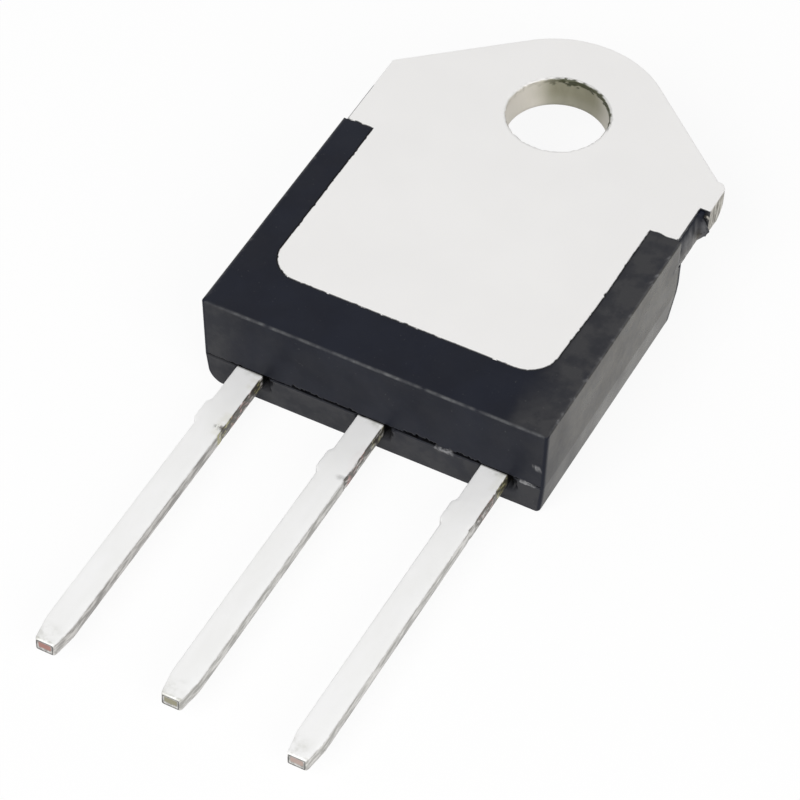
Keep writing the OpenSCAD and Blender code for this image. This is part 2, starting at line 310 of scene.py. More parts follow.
def srgb(r, g, b):
    """Linear colour of an 8-bit sRGB one."""
    shares = (c / 255 for c in (r, g, b))
    return *(c / 12.92 if c <= 0.04045 else ((c + 0.055) / 1.055) ** 2.4 for c in shares), 1.0


def noise_node(tree, size_mm, detail, stretch=(1, 1, 1), roughness=0.55):
    """Noise factor with features about size_mm across; stretch lengthens them along each axis."""
    place = add(tree, "TexCoord")
    scale = add(tree, "Mapping")
    texture = add(tree, "TexNoise")
    scale.inputs["Scale"].default_value = [1 / (size_mm * MM * longer) for longer in stretch]
    texture.inputs["Scale"].default_value = 1.0
    texture.inputs["Detail"].default_value = detail
    texture.inputs["Roughness"].default_value = roughness
    tree.links.new(place.outputs["Object"], scale.inputs["Vector"])
    tree.links.new(scale.outputs["Vector"], texture.inputs["Vector"])
    return texture.outputs["Fac"]


def spots(tree, size_mm, detail, low, high, low_value=0.0, high_value=1.0, **form):
    """Noise mapped from low..high to low_value..high_value; form is its stretch or roughness."""
    node = add(tree, "MapRange")
    node.interpolation_type = "SMOOTHSTEP"
    ends = {"From Min": low, "From Max": high, "To Min": low_value, "To Max": high_value}
    for name, value in ends.items():
        feed(tree, node.inputs[name], value)
    tree.links.new(noise_node(tree, size_mm, detail, **form), node.inputs["Value"])
    return node.outputs["Result"]


def clouds(tree, size_mm, detail, low_value=0.0, high_value=1.0, **form):
    """Soft clouds of noise, from low_value to high_value."""
    return spots(tree, size_mm, detail, 0.3, 0.7, low_value, high_value, **form)


def maths(tree, operation, a, b, clamp=False):
    node = add(tree, "Math")
    node.operation = operation
    node.use_clamp = clamp
    feed(tree, node.inputs[0], a)
    feed(tree, node.inputs[1], b)
    return node.outputs["Value"]


def blend(tree, factor, a, b):
    """Colour from a to b by factor. a and b are colours or sockets."""
    node = add(tree, "Mix")
    node.data_type = "RGBA"
    feed(tree, node.inputs["Factor"], factor)
    for name, value in (("A", a), ("B", b)):
        feed(tree, next(s for s in node.inputs if s.name == name and s.type == "RGBA"), value)
    return next(s for s in node.outputs if s.type == "RGBA")


def layer(tree, name):
    """The number that the mesh stores for a point under this name."""
    node = add(tree, "Attribute")
    node.attribute_name = name
    return node.outputs["Fac"]


def patches(tree, name, size_mm, detail, low, high, faint=0.0, full=1.0, **form):
    """A layer that noise breaks up, leaving faint to full of its strength."""
    broken = spots(tree, size_mm, detail, low, high, faint, full, **form)
    return maths(tree, "MULTIPLY", layer(tree, name), broken, True)


def coat(tree, shader, colour, metallic, roughness):
    feed(tree, shader.inputs["Base Color"], colour)
    feed(tree, shader.inputs["Metallic"], metallic)
    feed(tree, shader.inputs["Roughness"], roughness)


def bump(tree, shader, size_mm, detail, depth_mm, strength):
    """Roughens the surface with noise."""
    node = add(tree, "Bump")
    node.inputs["Strength"].default_value = strength
    node.inputs["Distance"].default_value = depth_mm * MM
    tree.links.new(noise_node(tree, size_mm, detail), node.inputs["Height"])
    tree.links.new(node.outputs["Normal"], shader.inputs["Normal"])


def mix_shaders(tree, factor, first, second):
    """A shader from first to second by factor."""
    node = add(tree, "MixShader")
    feed(tree, node.inputs[0], factor)
    tree.links.new(first, node.inputs[1])
    tree.links.new(second, node.inputs[2])
    return node.outputs[0]


def coloured(tree, kind, colour, strength=None):
    """The output of a simple shader of a kind, such as Emission."""
    node = add(tree, kind)
    node.inputs["Color"].default_value = colour
    if strength is not None:
        node.inputs["Strength"].default_value = strength
    return node.outputs[0]


# ---- materials


# Colours of the black moulding and of what lies on it
EPOXY_DARK = (0.0008, 0.002, 0.0078, 1)
EPOXY_LIGHT = (0.0026, 0.0044, 0.012, 1)
HAZE = (0.037, 0.037, 0.04, 1)
# Warm film that is partly painted sheen on the side walls
DUST_AND_SHEEN = (0.074, 0.065, 0.046, 1)
# Pale edge line: wear and a painted highlight
RUBBED_AND_HIGHLIGHT = srgb(92, 93, 95)
TORN = srgb(132, 132, 134)
GRAINS = srgb(116, 115, 112)
# Painted shade in the open parting line, beside the lead exits and along the window seam
GAP_SHADE = (0.0004, 0.0004, 0.0005, 1)
EPOXY_SPECULAR = 0.17
DUST_POLISH = 0.2

# Colours of the slug's plating, of its sheared walls and of the plastic on its edge
PLATING = (srgb(238, 237, 236), srgb(240, 239, 238))
BORE_WALL = (srgb(150, 147, 126), srgb(166, 163, 142))
# Painted light on parts of the hole's wall
BORE_PAINTED_LIGHT = srgb(226, 221, 211)
# Torn rim, also painted shade on the hole's rolled top edge
TORN_RIM_AND_SHADE = srgb(62, 64, 44)
SLUG_SHEAR = (srgb(112, 107, 97), srgb(202, 199, 190))
FLASH = srgb(30, 31, 35)
SLUG_METALLIC = 0.3

# Colours of the leads' tin and of the stains on it
TIN = (srgb(243, 243, 242), srgb(247, 247, 247))
# Painted light that brightens the tin near the moulding
TIN_PAINTED_LIGHT = (0.99, 0.99, 0.99, 1)
# Dull tin, also painted shade on the tip's top edge
TIN_FROST_AND_SHADE = srgb(196, 196, 190)
TIN_SHADE = (0.003, 0.003, 0.003, 1)
TIN_METALLIC = 0.12
# Stains on the leads' sides: layer, spot size, where its noise starts and is full, its
# stretch and its colour
STAIN_KINDS = (
    ("olive", 0.34, 0.36, 0.52, (1, 1, 1), srgb(176, 172, 116)),
    ("copper", 0.2, 0.4, 0.6, (1, 4, 1), srgb(176, 112, 100)),
    ("grime", 0.15, 0.36, 0.54, (1, 2, 1), srgb(70, 65, 56)),
)


def epoxy_material():
    """Black moulded epoxy with a faint blue cast. Its layers: dust_and_sheen is a warm film on polished
    sides, partly painted sheen that lightens them, haze a cool one, ridge a rubbed edge and partly a
    painted highlight, scuff torn flash, and gap painted shade in open joints and recesses."""
    material, tree, shader = new_material("epoxy_black")
    blotch = spots(tree, 2.4, 4, 0.35, 0.65)
    body = blend(tree, blotch, EPOXY_DARK, EPOXY_LIGHT)
    veil = patches(tree, "haze", 1.1, 5, 0.36, 0.62, 0.5, 1.08, roughness=0.6)
    hazy = blend(tree, veil, body, HAZE)
    film = patches(tree, "dust_and_sheen", 0.3, 5, 0.3, 0.7, 0.45, roughness=0.65)
    # Painted sheen with dust: a warm film that lightens the side walls
    dusty_and_sheened = blend(tree, film, hazy, DUST_AND_SHEEN)
    rubbed_and_lit = patches(tree, "ridge", 0.4, 5, 0.34, 0.6, 0.45, roughness=0.7)
    # Pale top edges: partly wear, partly a painted highlight
    worn = blend(tree, rubbed_and_lit, dusty_and_sheened, RUBBED_AND_HIGHLIGHT)
    scuff = patches(tree, "scuff", 0.18, 3, 0.32, 0.5, 0.4)
    torn = blend(tree, scuff, worn, TORN)
    grains = spots(tree, 0.12, 2, 0.68, 0.84, 0.0, 0.25)
    grainy = blend(tree, grains, torn, GRAINS)
    dark = blend(tree, layer(tree, "gap"), grainy, GAP_SHADE)
    satin = clouds(tree, 1.4, 4, 0.44, 0.49)
    polish = maths(tree, "MULTIPLY", layer(tree, "dust_and_sheen"), DUST_POLISH)
    rough = maths(tree, "MAXIMUM", maths(tree, "SUBTRACT", satin, polish), scuff)
    coat(tree, shader, dark, 0.0, rough)
    shader.inputs["Specular IOR Level"].default_value = EPOXY_SPECULAR
    bump(tree, shader, 0.09, 2, 0.003, 0.6)
    return material


def slug_material():
    """Matte nickel-plated copper. Its layers: bore is the sheared wall of the hole and pale painted
    light on parts of it, rim the torn dark edge and painted shade that dulls the highlight on
    the hole's rolled top edge, shear the outer cut faces, and flash the thin film of black plastic
    along the window's edge."""
    material, tree, shader = new_material("plated_slug")
    plate = blend(tree, clouds(tree, 4.0, 2), *PLATING)
    dull = blend(tree, clouds(tree, 0.7, 3, stretch=(1, 1, 3)), *BORE_WALL)
    # Painted light on the wall's left and right parts
    wall = blend(tree, layer(tree, "pale"), dull, BORE_PAINTED_LIGHT)
    mixed = blend(tree, layer(tree, "bore"), plate, wall)
    dark = blend(tree, layer(tree, "rim"), mixed, TORN_RIM_AND_SHADE)
    streak = spots(tree, 0.16, 4, 0.35, 0.65, stretch=(1, 1, 4))
    cut = blend(tree, streak, *SLUG_SHEAR)
    side = blend(tree, layer(tree, "shear"), dark, cut)
    film = patches(tree, "flash", 0.3, 3, 0.25, 0.45)
    edged = blend(tree, film, side, FLASH)
    coat(tree, shader, edged, SLUG_METALLIC, clouds(tree, 0.8, 4, 0.45, 0.52))
    bump(tree, shader, 0.07, 3, 0.002, 0.3)
    return material


def tin_material(name, side_colours, cut_colour):
    """Tinned copper lead. Its layers: shear is a cut side, frost_and_shade a dull patch and painted
    shade on the tip's top edge, olive, copper and grime are stains, cut is the bare end, deep is in
    shade, and root is painted light that brightens the tin beside the moulding."""
    material, tree, shader = new_material(name)
    face = blend(tree, clouds(tree, 1.2, 4, stretch=(1, 3, 1)), *TIN)
    # Painted light: the root layer brightens the tin towards the moulding
    lit = blend(tree, layer(tree, "root"), face, TIN_PAINTED_LIGHT)
    frost_and_shade = patches(tree, "frost_and_shade", 0.45, 4, 0.35, 0.65)
    top = blend(tree, frost_and_shade, lit, TIN_FROST_AND_SHADE)
    streak = spots(tree, 0.14, 4, 0.35, 0.65, stretch=(1, 7, 1.5))
    sheared = blend(tree, streak, *side_colours)
    stained = blend(tree, layer(tree, "shear"), top, sheared)
    for stain, size_mm, low, high, stretch, colour in STAIN_KINDS:
        stains = patches(tree, stain, size_mm, 4, low, high, stretch=stretch)
        stained = blend(tree, stains, stained, colour)
    bare = blend(tree, layer(tree, "cut"), stained, cut_colour)
    shaded = blend(tree, layer(tree, "deep"), bare, TIN_SHADE)
    coat(tree, shader, shaded, TIN_METALLIC, clouds(tree, 0.5, 4, 0.34, 0.46))
    bump(tree, shader, 0.08, 3, 0.002, 0.4)
    return material


def plain_material(name, dark, light, metallic, roughness, grain_mm):
    """A simple finish for a piece inside the moulding."""
    material, tree, shader = new_material(name)
    coat(tree, shader, blend(tree, clouds(tree, grain_mm, 3), dark, light), metallic, roughness)
    bump(tree, shader, grain_mm / 4, 2, 0.004, 0.5)
    return material


# ---- moulding

LEAD_CENTRES = (-LEAD_PITCH, 0.0, LEAD_PITCH)
LEAD_GAP = 0.09
LEAD_GAP_RIGHT = 0.4
LEAD_GAP_DEPTH = 0.34
LEAD_GAP_SPREAD = 1.35
SEAM_Z = LEAD_TOP
HAIRLINE_DEPTH = 0.15
HAIRLINE_H = 0.07
HAIRLINE_WAVER = 0.05
LEDGE_OUT = 0.012
FLAKE_OUT = 0.035
FLAKE_SPREAD = 1.4
FLAKE_TEAR = 0.8
RIDGE_OUT = 0.02
# Waves of the moulding's surfaces and torn edges: height, size and seed
FOOT_WAVES = ((0.006, 1.5, 1), (0.003, 0.35, 2))
SIDE_WAVES = ((0.004, 1.8, 12),)
WINDOW_WAVES = ((0.012, 1.3, 5), (0.008, 0.3, 7))
LEAD_GAP_WAVES = ((0.55, 0.16, 11), (0.3, 0.4, 24))
RIDGE_WAVES = ((0.7, 1.3, 6), (0.65, 0.3, 8))
SKIN_WAVES = ((0.05, 0.3, 21), (0.03, 0.1, 22))
# How pale parts of the moulding are. The tables hold its paler ends: strength, and where along X
# it starts and is full
HAZE_LEAST = 0.12
HAZE_LOW = 0.74
HAZE_LEDGE = 0.4
FOOT_HAZES = ((0.75, -4.8, -7.1), (0.35, 5.8, 7.3))
HAZE_TOP = 0.05
TOP_HAZES = ((0.95, 5.6, 6.5), (0.05, -5.5, -7.0))
# Film and wear on the side walls; the film is dust and partly painted sheen, lighter away from the lead
# end
SIDE_DUST_AND_SHEEN = 0.52
SIDE_SHEEN_FAR = 0.42
SIDE_SHEEN_LEN = 6.0
SIDE_DUST_AND_SHEEN_CLOUDS = 0.3
SIDE_SCUFF_RIGHT = 0.6
SIDE_SCUFF_LEFT = 0.3
SIDE_RIDGE = 0.4
# Where along X the parting line on the lead end stands open, and the gap's depth and height
SEAM_GAPS = (
    (-7.3, -6.3, 0.2, 0.07),
    (-6.25, -5.95, 0.3, 0.1),
    (-4.8, -3.7, 0.3, 0.08),
    (-3.5, -2.3, 0.5, 0.17),
    (-2.1, -0.7, 0.5, 0.16),
    (0.65, 1.4, 0.35, 0.1),
    (1.5, 2.85, 0.55, 0.2),
    (3.5, 4.75, 0.5, 0.15),
    (6.1, 6.5, 0.3, 0.08),
)
# Pale flakes of flash on the lead end: X, height, half length, half height
FLAKES = (
    (3.2, 1.48, 0.5, 0.13),
    (3.42, 1.58, 0.2, 0.16),
    (6.8, 1.52, 0.5, 0.1),
    (7.25, 2.65, 0.2, 0.17),
)
NO_MARKS = {"scuff": 0.0, "gap": 0.0, "dust_and_sheen": 0.0, "haze": 0.0, "ridge": 0.0}


def side_half(z):
    """Half width of the moulding's side walls, before the front edges are rounded."""
    if z > LEAD_TOP:
        return lerp(PARTING_HALF, TAB_HALF, (z - LEAD_TOP) / (TOP_Z - LEAD_TOP))
    return lerp(FRONT_HALF, PARTING_HALF, z / LEAD_TOP)


def foot_wall(z):
    if z > LEAD_TOP:
        return lerp(FOOT_DRAFT_TAB, 0, (z - LEAD_TOP) / (TOP_Z - LEAD_TOP))
    return lerp(FOOT_DRAFT_TAB + FOOT_DRAFT_FRONT, FOOT_DRAFT_TAB, z / LEAD_TOP)


def head_wall(z):
    return HEAD_LEN - HEAD_DRAFT * max(0.0, 1 - z / HEAD_DRAFT_Z)


def block_sides(z, inset):
    """Left, right, lead-end and far-end walls of the moulding at a height."""
    half = side_half(z)
    ends = round_inset(z, FRONT_ROUND_ENDS) + inset
    left = round_inset(z, FRONT_ROUND_LEFT) + inset - half
    right = half - round_inset(z, FRONT_ROUND_RIGHT) - inset
    return left, right, foot_wall(z) + ends, head_wall(z) - ends


FOOT_PITCH = 0.06
SIDE_PITCH = 0.14
HEAD_PITCH = 0.2
FOOT_SPAN = 2 * (TAB_HALF - FOOT_CORNER_R)
WINDOW_SIDE_STEPS = 150
WINDOW_FOOT_STEPS = 190
WINDOW_CORNER_STEPS = 36
ARM_END_STEPS = 26
FOOT_CORNER_STEPS = 6
HEAD_CORNER_STEPS = 5
ARM_TEAR = 0.06
NICK_DEPTH = 0.09


def outer_run(z, inset):
    """From the right arm's end down the side, round the lead end and up to the left arm's end."""
    left, right, foot, head = block_sides(z, inset)
    r = FOOT_CORNER_R
    left_arm = head - ARM_SETBACK_LEFT
    right_arm = head - ARM_SETBACK_RIGHT
    sides = fractions(RIGHT_ARM, SIDE_PITCH)
    run = [(right, lerp(right_arm, foot + r, t)) for t in sides]
    run += arc((right - r, foot + r), r, 0, -90, FOOT_CORNER_STEPS)
    run += [(lerp(right - r, left + r, t), foot) for t in fractions(FOOT_SPAN, FOOT_PITCH)]
    run += arc((left + r, foot + r), r, -90, -180, FOOT_CORNER_STEPS)
    run += [(left, lerp(foot + r, left_arm, t)) for t in sides]
    return run + [(left, left_arm)]


def head_run(z, inset):
    """From the left arm's end round the far end, without the points at the arms' ends."""
    left, right, _, head = block_sides(z, inset)
    r = HEAD_CORNER_R
    run = [(left, lerp(head - ARM_SETBACK_LEFT, head - r, 0.5))]
    run += arc((left + r, head - r), r, 180, 90, HEAD_CORNER_STEPS)
    run += [(lerp(left + r, right - r, t), head) for t in fractions(2 * TAB_HALF, HEAD_PITCH)]
    run += arc((right - r, head - r), r, 90, 0, HEAD_CORNER_STEPS)
    return run + [(right, head - r), (right, lerp(head - ARM_SETBACK_RIGHT, head - r, 0.5))]


def window_stray(x, y):
    """How far the moulding's edge lies back from the drawn window; nibbles of flash lie on the slug."""
    nibble = max(0.0, ripple(x, y, 0, 0.2, 17) - 0.25)
    nick = max(0.0, ripple(x, y, 0, 0.16, 19) - 0.42)
    corner_y = BORDER_FOOT + WINDOW_R
    lean = WINDOW_LEAN * rise(y, corner_y, corner_y + WINDOW_LEAN_LEN) if x > 0 else 0.0
    return lean + waves(x, y, 0, WINDOW_WAVES) + NICK_DEPTH * (nick - nibble)


def waver_window(run):
    """Moves the points of a window run a little, across the edge they lie on."""
    middle = (WINDOW_LEFT + WINDOW_RIGHT) / 2
    reach = (WINDOW_RIGHT - WINDOW_LEFT) / 2 - WINDOW_R
    found = []
    for x, y in run:
        across = max(0.0, abs(x - middle) - reach)
        outward = Vector((math.copysign(across, x - middle), min(0.0, y - BORDER_FOOT - WINDOW_R)))
        outward = outward.normalized() * window_stray(x, y)
        found.append((x + outward.x, y + outward.y))
    return found


def window_run(out, left_arm, right_arm):
    """The wavering edge of the bare window, grown by out: down its left side, along its foot
    and up its right side."""
    left, right = WINDOW_LEFT - out, WINDOW_RIGHT + out
    foot, r = BORDER_FOOT - out, WINDOW_R + out
    run = line((left, left_arm), (left, foot + r), WINDOW_SIDE_STEPS)
    run += arc((left + r, foot + r), r, 180, 270, WINDOW_CORNER_STEPS)
    run += line((left + r, foot), (right - r, foot), WINDOW_FOOT_STEPS)
    run += arc((right - r, foot + r), r, 270, 360, WINDOW_CORNER_STEPS)
    run += line((right, foot + r), (right, right_arm), WINDOW_SIDE_STEPS)
    return waver_window(run + [(right, right_arm)])


def arm_end(start, end):
    """Points along an arm's slightly torn end, without its own two ends."""
    return [(x, y + ARM_TEAR * ripple(x, 0, 0, 0.4, 51)) for x, y in line(start, end, ARM_END_STEPS)[1:]]


def inner_run(z, inset, grow, outer_inset):
    """From the left arm's end along it, round the window and back along the right arm's end."""
    left, right, _, _ = block_sides(z, outer_inset)
    left_arm, right_arm = LEFT_ARM - inset, RIGHT_ARM - inset
    window = window_run(grow + inset, left_arm, right_arm)
    return arm_end((left, left_arm), window[0]) + window + arm_end(window[-1], (right, right_arm))


def lead_gap(x, z):
    """1 at the edge of a lead's exit, falling to 0 a short way outside it."""
    distance, offset = min((abs(x - centre), x - centre) for centre in LEAD_CENTRES)
    beside = max(0.0, distance - LEAD_W / 2) / (LEAD_GAP_RIGHT if offset > 0 else LEAD_GAP)
    above = max(0.0, LEAD_Z - z, z - LEAD_TOP) / LEAD_GAP
    ragged = waves(x, 0, z, LEAD_GAP_WAVES)
    return smooth(LEAD_GAP_SPREAD * (1 - math.hypot(beside, above) + ragged))


def seam_gap(x, z):
    """How deep the open parting line is at a point, with soft and uneven ends."""
    uneven = max(0.0, 0.85 + 0.6 * ripple(x, 0, 0, 0.25, 4))
    ragged = 0.75 + 0.7 * ripple(x, 0, 0, 0.15, 13)
    found = 0.0
    for low, high, depth, height in SEAM_GAPS:
        top = SEAM_Z + height * ragged
        inside = between(x, low, high, 0.08) * between(z, SEAM_Z - 0.01, top, 0.02)
        found = max(found, depth * uneven * inside)
    return found


def flake(x, z):
    """1 on the pale flakes of flash, falling to 0 across their torn edges."""
    nearest = min(math.hypot((x - fx) / fw, (z - fz) / fh) for fx, fz, fw, fh in FLAKES)
    return smooth(FLAKE_SPREAD * (1 - nearest) + FLAKE_TEAR * ripple(x, 0, z, 0.11, 3))


def foot_haze(x, z, ledge):
    """How pale the lead end's wall is at a point."""
    low = HAZE_LOW * between(z, 0, SEAM_Z - 0.1, 0.1)
    on_ledge = HAZE_LEDGE * ledge * smooth(0.5 + ripple(x, 0, 0, 0.8, 9))
    ends = [strength * rise(x, start, full) for strength, start, full in FOOT_HAZES]
    return max(HAZE_LEAST, low, on_ledge, *ends)


def foot_detail(x, y, z):
    """Displaced y and the layer values of a point on the lead end's wall."""
    opening = seam_gap(x, z)
    line_top = SEAM_Z + HAIRLINE_H + HAIRLINE_WAVER * ripple(x, 0, 0, 0.2, 37)
    hairline = HAIRLINE_DEPTH * between(z, SEAM_Z + 0.005, line_top, 0.015)
    ledge = between(z, SEAM_Z - 0.06, SEAM_Z - 0.02, 0.04)
    gap = lead_gap(x, z)
    chip = flake(x, z)
    y += waves(x, 0, z, FOOT_WAVES) + max(opening, hairline, LEAD_GAP_DEPTH * gap)
    y -= LEDGE_OUT * ledge + FLAKE_OUT * chip
    # Painted shade in the open parting line and the recesses beside the lead exits
    dark = min(1.0, max(opening * 12, hairline * 10, gap)) * (1 - chip)
    return y, NO_MARKS | {"scuff": chip, "gap": dark, "haze": foot_haze(x, z, ledge)}


def ridge(x):
    """Strength along X of the pale ridge where the mounting side meets the lead end, wear with a painted
    highlight.
    """
    fade = 0.3 + 0.7 * rise(x, 0.4 - TAB_HALF, 2.6 - TAB_HALF)
    return fade * max(0.0, 0.6 + waves(x, 0, 0, RIDGE_WAVES))


def wall_ring(run, z, inset):
    """Points and marks of a run of wall points at height z."""
    left, right, foot, _ = block_sides(z, inset)
    points, marks = [], []
    near_top = rise(z, TOP_Z - 0.12, TOP_Z - 0.03)
    for x, y in run:
        values = dict(NO_MARKS)
        if y < foot + 0.02 and left + FOOT_CORNER_R < x < right - FOOT_CORNER_R:
            y, values = foot_detail(x, y, z)
            values["ridge"] = near_top * ridge(x)
            y -= RIDGE_OUT * values["ridge"]
        elif y > foot + FOOT_CORNER_R:
            side = math.copysign(1, x)
            x += side * waves(x, y, z, SIDE_WAVES)
            specks = smooth(3 * ripple(0, y, 0, 0.22, 14 + side) - 0.4)
            cloudy = SIDE_DUST_AND_SHEEN_CLOUDS * ripple(x, y, z, 1.4, 15)
            # Dust with painted sheen, more of it away from the lead end
            values["dust_and_sheen"] = SIDE_DUST_AND_SHEEN + SIDE_SHEEN_FAR * rise(y, 0, SIDE_SHEEN_LEN) + cloudy
            values["scuff"] = near_top * specks * (SIDE_SCUFF_RIGHT if x > 0 else SIDE_SCUFF_LEFT)
            # Painted highlight along the side's top edge, with wear
            values["ridge"] = SIDE_RIDGE * near_top
        points.append((x, y, z))
        marks.append(values)
    return points, marks


# The skin's dust_and_sheen, partly painted sheen on its outer face, and scuffs, in the order of its
# section's points
SKIN_DUST_AND_SHEEN = (0, 0.9, 1.0, 1.0, 0.75, 0.1, 0, 0, 0)
SKIN_SCUFF = (0, 0.3, 0.5, 0.7, 0.8, 0.6, 0.25, 0, 0)


def skin_section(y, side, flare):
    """Points (x, z) across the plastic skin on the slug's edge. flare is how far its lump stands out."""
    root = NECK_HALF - 0.05
    full_z = TOP_Z - SKIN_SLOPE
    low_x = side_half(SLUG_Z) + 0.35 * flare
    full_x = side_half(full_z) + flare
    top_z = TOP_Z - 0.08 + waves(0, y, side, SKIN_WAVES)
    return [
        (root, SLUG_Z),
        (low_x - 0.03, SLUG_Z),
        (low_x, SLUG_Z + 0.04),
        (lerp(low_x, full_x, 0.6), lerp(SLUG_Z, full_z, 0.5)),
        (full_x, full_z),
        (lerp(full_x, NECK_HALF, 0.3), lerp(full_z, top_z, 0.35)),
        (lerp(full_x, NECK_HALF, 0.65), lerp(full_z, top_z, 0.7)),
        (NECK_HALF + 0.012 + 0.6 * flare, top_z - 0.02),
        (root, top_z),
    ]


def add_neck_skin(shell, side):
    """The thin plastic skin between a border and the shoulder, with a lump at its end on the right."""
    end_y = STUB_Y - 0.01
    start_y = min(LEFT_ARM, RIGHT_ARM) - 0.3
    rings = []
    for step in range(NECK_STEPS + 1):
        y = lerp(start_y, end_y, step / NECK_STEPS)
        flare = LUMP_OUT * rise(y, end_y - LUMP_START, end_y - LUMP_FULL) if side > 0 else 0.0
        section = skin_section(y, side, flare)
        rough = 0.014 + 0.08 * flare
        points = [(side * (x + rough * ripple(x, y, z, 0.25, 23)), y, z) for x, z in section]
        pale = 1 - smooth(flare / LUMP_OUT * 1.5)
        marks = []
        for (_, z), dust_and_sheen, scuff in zip(section, SKIN_DUST_AND_SHEEN, SKIN_SCUFF):
            worn = smooth(0.5 + 1.6 * ripple(0, y, z, 0.3, 29))
            marks.append(NO_MARKS | {"dust_and_sheen": dust_and_sheen * pale, "scuff": scuff * worn})
        rings.append(shell.ring(points, marks))
    shell.bm.faces.new(rings[0])
    shell.join(rings)
    shell.bm.faces.new(rings[-1])


def mounting_haze(x):
    """How pale the mounting side of the moulding is at x; its right border is the palest."""
    return HAZE_TOP + sum(strength * rise(x, start, full) for strength, start, full in TOP_HAZES)


# Rings up the moulding: heights on the rounded front edge and on the walls, distances below and
# above the parting line, and even steps up to the slug
ROUND_LEVELS = (0.0, 0.01, 0.03, 0.06, 0.09, 0.12, 0.16, 0.2, 0.27, 0.35, 0.45, 0.55, 0.65)
WALL_LEVELS = (0.8, 0.92, 1.0, 1.04, 1.08, 1.2, 1.34, 1.4)
SEAM_DROPS = (0.11, 0.08, 0.05, 0.025, 0.005)
SEAM_RISES = (0.01, 0.025, 0.04, 0.06, 0.08, 0.1, 0.12, 0.15, 0.2, 0.27)
UPPER_START = 1.9
UPPER_STEPS = 9
# Rings beside the slug: heights above its underside, depths under the mounting side, angles
# round the top edge, and distances in from it
LIP_RISES = (0.2, 0.4, LIP_T)
BORDER_DROPS = (0.65, 0.5, 0.35, 0.24, 0.17, 0.12, 0.09)
TOP_EDGE_ANGLES = (0, 25, 50, 72, 90)
TOP_INSETS = (0.03, 0.07, 0.12, 0.25)
FACE_INSET = 0.15


def add_front_block(shell):
    """The moulding from its front face up to the slug's underside. Returns the top rings of the
    outer run and of the far end."""
    levels = [*ROUND_LEVELS, *WALL_LEVELS]
    levels += [SEAM_Z - drop for drop in SEAM_DROPS] + [SEAM_Z + above for above in SEAM_RISES]
    levels += [lerp(UPPER_START, SLUG_Z, i / UPPER_STEPS) for i in range(UPPER_STEPS + 1)]
    rings = []
    for z, inset in [(0.0, FACE_INSET)] + [(z, 0.0) for z in levels]:
        outer = shell.ring(*wall_ring(outer_run(z, inset), z, inset))
        head = shell.ring([(x, y, z) for x, y in head_run(z, inset)])
        rings.append(outer + head)
    shell.cap(rings[0])
    shell.join(rings)
    return outer, head


def border_rows():
    """Rows (z, inset outside, inset at the window, growth of the window) beside the slug."""
    rows = [(SLUG_Z + above, 0.0, 0.0, LIP_W) for above in LIP_RISES]
    rows.append((SLUG_Z + LIP_T + 0.01, 0.0, 0.0, 0.0))
    rows += [(TOP_Z - drop, 0.0, 0.0, 0.0) for drop in BORDER_DROPS]
    for drop, turn in map(edge_turn, TOP_EDGE_ANGLES):
        rows.append((TOP_Z - TOP_EDGE_R * drop, TOP_EDGE_R * turn, SEAM_EDGE_R * turn, 0.0))
    return rows + [(TOP_Z, TOP_EDGE_R + extra, SEAM_EDGE_R + extra, 0.0) for extra in TOP_INSETS]


def fade_onto_top(points, marks, outer_inset):
    """Ends the walls' marks a short way in from the top edge, where the mounting side's haze starts."""
    flat = max(0.0, outer_inset - TOP_EDGE_R)
    turned = smooth(outer_inset / TOP_EDGE_R)
    for (x, _, _), mark in zip(points, marks):
        mark["scuff"] *= max(0.0, 1 - flat / SCUFF_FLAT)
        mark["ridge"] *= max(0.0, 1 - flat / RIDGE_FLAT) ** 2
        mark["dust_and_sheen"] *= 1 - turned
        mark["haze"] = lerp(mark["haze"], mounting_haze(x), turned)


def build_body(material):
    shell = Shell(tuple(NO_MARKS))
    outer, head = add_front_block(shell)
    seat = shell.ring([(x, y, SLUG_Z) for x, y in inner_run(SLUG_Z, 0.0, LIP_W, 0.0)])
    shell.cap([outer[-1]] + head + [outer[0]] + seat[::-1])
    rings = [outer + seat]
    for z, outer_inset, inner_inset, grow in border_rows():
        run = outer_run(z, outer_inset)
        run[0] = (run[0][0], RIGHT_ARM - inner_inset)
        run[-1] = (run[-1][0], LEFT_ARM - inner_inset)
        points, marks = wall_ring(run, z, outer_inset)
        fade_onto_top(points, marks, outer_inset)
        inside = inner_run(z, inner_inset, grow, outer_inset)
        # Painted shade: a thin dark line along the window's seam with the slug
        seam = smooth(1 - (inner_inset - SEAM_EDGE_R * 0.5) / 0.03)
        dark = [NO_MARKS | {"gap": seam, "haze": mounting_haze(x)} for x, _ in inside]
        rings.append(shell.ring(points, marks) + shell.ring([(x, y, z) for x, y in inside], dark))
    shell.join(rings)
    shell.cap(rings[-1])
    add_neck_skin(shell, 1)
    add_neck_skin(shell, -1)
    return shell.piece("epoxy_body", material, "moulded_body")


# ---- slug


def stub_points(drop):
    """The sheared tie-bar stub; drop is the share of its edges' roll at the loop's height."""
    far_x = STUB_X - STUB_SIDE_ROLL * drop
    far_y = SHOULDER_Y - STUB_FAR_ROLL * drop
    corner = (far_x - STUB_CORNER_R, SHOULDER_Y - STUB_CORNER_R)
    run = line((NECK_HALF, STUB_Y), (far_x, STUB_Y), STUB_FOOT_STEPS)
    run += line((far_x, STUB_Y), (far_x, corner[1]), STUB_SIDE_STEPS)
    run += arc(corner, STUB_CORNER_R, 0, 90, STUB_CORNER_STEPS)
    join_x = STUB_X - STUB_CORNER_R - STUB_JOIN
    return [(x, min(y, far_y)) for x, y in run + [(join_x, shoulder_line_y(join_x))]]


